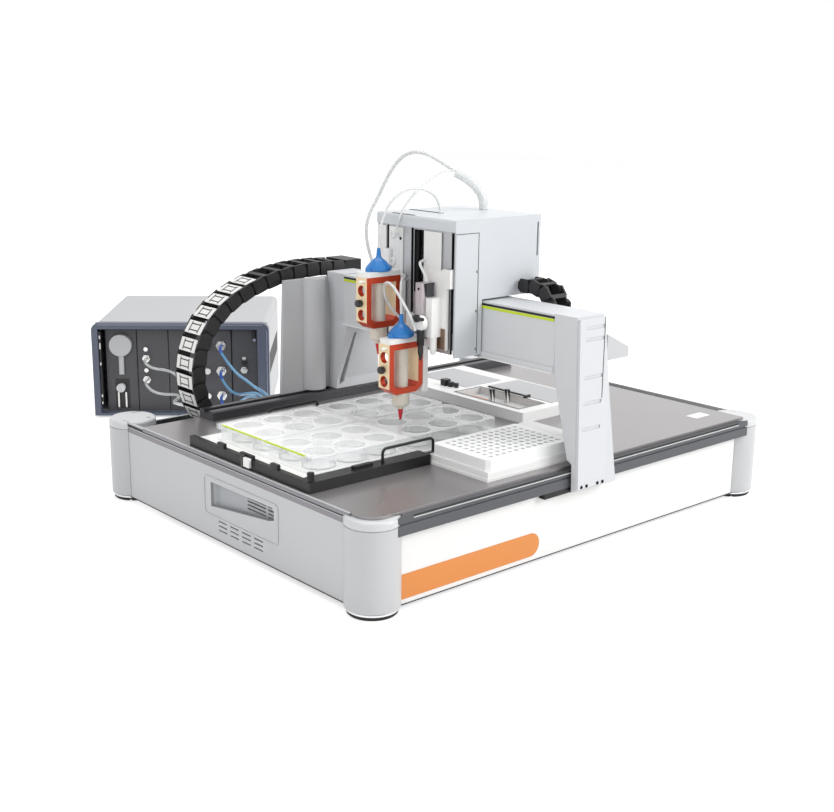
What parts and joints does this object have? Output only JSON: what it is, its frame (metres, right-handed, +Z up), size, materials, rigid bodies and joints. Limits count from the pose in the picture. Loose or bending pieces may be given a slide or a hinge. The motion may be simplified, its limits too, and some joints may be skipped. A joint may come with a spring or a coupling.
{
  "type": "bioprinter",
  "caption": "Desktop bioprinter with a travelling gantry, print head with tool slides, culture plates on a deck, energy chains and a separate pneumatic control unit",
  "frame": {"origin": "centre of the base's footprint, on the surface it stands on", "axes": "+X along the base towards the wash station, +Y to the rear, +Z up"},
  "size_m": [0.62, 1.0333, 0.4062],
  "materials": {
    "pan": "brushed",
    "post_grey": "satin",
    "cap_grey": "satin",
    "foot_black": "matte",
    "panel_white": "satin",
    "panel_grey": "satin",
    "deck": "satin",
    "rail_alloy": "satin",
    "rail_dark": "satin",
    "black_anodised": "satin",
    "tray_white": "gloss",
    "clear_plate": "gloss",
    "adapter_alloy": "satin",
    "station_white": "matte",
    "black_plastic": "matte",
    "leg_paint": "satin",
    "chain_black": "matte",
    "holder_orange": "satin",
    "barrel_cream": "translucent",
    "cap_blue": "gloss",
    "case_paint": "satin",
    "bezel_blue_grey": "satin",
    "module_black": "matte",
    "port_blue": "gloss",
    "tube_blue": "gloss",
    "tube_white": "gloss"
  },
  "bodies": {
    "base": {"chassis": "pan", "corner_posts": "post_grey", "post_caps": "cap_grey", "post_feet": "foot_black", "front_panel": "panel_white", "side_panels": "panel_grey", "deck_plate": "deck", "front_rail": "rail_alloy", "rear_rail": "rail_dark", "chain_trough": "pan", "tray_frame": "black_anodised", "tray_plate": "tray_white", "tray_fittings": "black_anodised", "well_plates_left": "clear_plate", "well_plates_right": "clear_plate", "plate_adapter": "adapter_alloy", "micro_plate": "clear_plate", "wash_station": "station_white", "station_fittings": "black_plastic", "x_energy_chain": "chain_black", "control_case": "case_paint", "control_bezel": "bezel_blue_grey", "control_modules": "module_black", "control_fittings": "port_blue", "blue_air_line_1": "tube_blue", "blue_air_line_2": "tube_blue", "blue_air_line_3": "tube_blue", "white_air_line_1": "tube_white", "white_air_line_2": "tube_white"},
    "lid_front_body": {"lid_front": "clear_plate"},
    "lid_rear_body": {"lid_rear": "clear_plate"},
    "gantry": {"near_leg": "leg_paint", "near_leg_cover": "leg_paint", "far_leg": "leg_paint", "far_leg_cover": "leg_paint", "beam": "leg_paint", "gantry_runners": "black_anodised", "y_chain_tray": "leg_paint", "y_energy_chain": "chain_black", "umbilical": "tube_white"},
    "head": {"head_housing": "leg_paint", "head_columns": "rail_alloy", "rear_cap_line": "tube_blue", "front_cap_line": "tube_white", "tool_lines": "tube_white"},
    "near_tool": {"tool_slide": "leg_paint", "tool_gripper": "tray_white"},
    "tool_lever_body": {"tool_lever": "black_plastic"},
    "front_tool": {"front_slide": "tray_white", "front_holder": "holder_orange", "front_barrel": "barrel_cream"},
    "front_cap_body": {"front_cap": "cap_blue"},
    "front_screw_body": {"front_thumb_screw": "black_plastic"},
    "rear_tool": {"rear_slide": "tray_white", "rear_holder": "holder_orange", "rear_barrel": "barrel_cream"},
    "rear_cap_body": {"rear_cap": "cap_blue"},
    "rear_screw_body": {"rear_thumb_screw": "black_plastic"},
    "knob_body": {"regulator_knob": "black_plastic"},
    "button_body": {"selector_button": "black_plastic"}
  },
  "joints": [
    {"name": "gantry_travel", "type": "slide", "parent": "base", "child": "gantry", "axis": [1, 0, 0], "range_m": [-0.165, 0.225], "deforming": ["x_energy_chain"]},
    {"name": "head_travel", "type": "slide", "parent": "gantry", "child": "head", "axis": [0, 1, 0], "range_m": [-0.1, 0.11], "deforming": ["y_energy_chain", "umbilical"]},
    {"name": "near_tool_lift", "type": "slide", "parent": "head", "child": "near_tool", "axis": [0, 0, 1], "range_m": [-0.06, 0.036], "deforming": ["tool_lines"]},
    {"name": "tool_lever_turn", "type": "hinge", "parent": "near_tool", "child": "tool_lever_body", "pos_m": [-0.1205, -0.097, 0.2415], "axis": [1, 0, 0], "range_deg": [-30, 30]},
    {"name": "front_tool_lift", "type": "slide", "parent": "head", "child": "front_tool", "axis": [0, 0, 1], "range_m": [-0.012, 0.062], "deforming": ["front_cap_line"]},
    {"name": "rear_tool_lift", "type": "slide", "parent": "head", "child": "rear_tool", "axis": [0, 0, 1], "range_m": [-0.066, 0.01], "deforming": ["rear_cap_line"]},
    {"name": "front_cap_turn", "type": "hinge", "parent": "front_tool", "child": "front_cap_body", "pos_m": [-0.122, -0.074, 0.22], "axis": [0, 0, 1], "range_deg": [-90, 0]},
    {"name": "rear_cap_turn", "type": "hinge", "parent": "rear_tool", "child": "rear_cap_body", "pos_m": [-0.122, -0.036, 0.286], "axis": [0, 0, 1], "range_deg": [-90, 0]},
    {"name": "front_screw_turn", "type": "hinge", "parent": "front_tool", "child": "front_screw_body", "pos_m": [-0.149, -0.074, 0.186], "axis": [1, 0, 0], "range_deg": [-180, 180]},
    {"name": "rear_screw_turn", "type": "hinge", "parent": "rear_tool", "child": "rear_screw_body", "pos_m": [-0.149, -0.036, 0.252], "axis": [1, 0, 0], "range_deg": [-180, 180]},
    {"name": "lid_front_lift", "type": "slide", "parent": "base", "child": "lid_front_body", "axis": [0, 0, 1], "range_m": [0, 0.06]},
    {"name": "lid_rear_lift", "type": "slide", "parent": "base", "child": "lid_rear_body", "axis": [0, 0, 1], "range_m": [0, 0.06]},
    {"name": "regulator_knob_turn", "type": "hinge", "parent": "base", "child": "knob_body", "pos_m": [-0.11352, 0.56782, 0.042], "axis": [-0.6225, -0.7826, 0], "range_deg": [-135, 135]},
    {"name": "selector_button_press", "type": "slide", "parent": "base", "child": "button_body", "axis": [0.6225, 0.7826, 0], "range_m": [0, 0.002], "stiffness_N_per_m": 150, "springref_m": -0.0005}
  ]
}
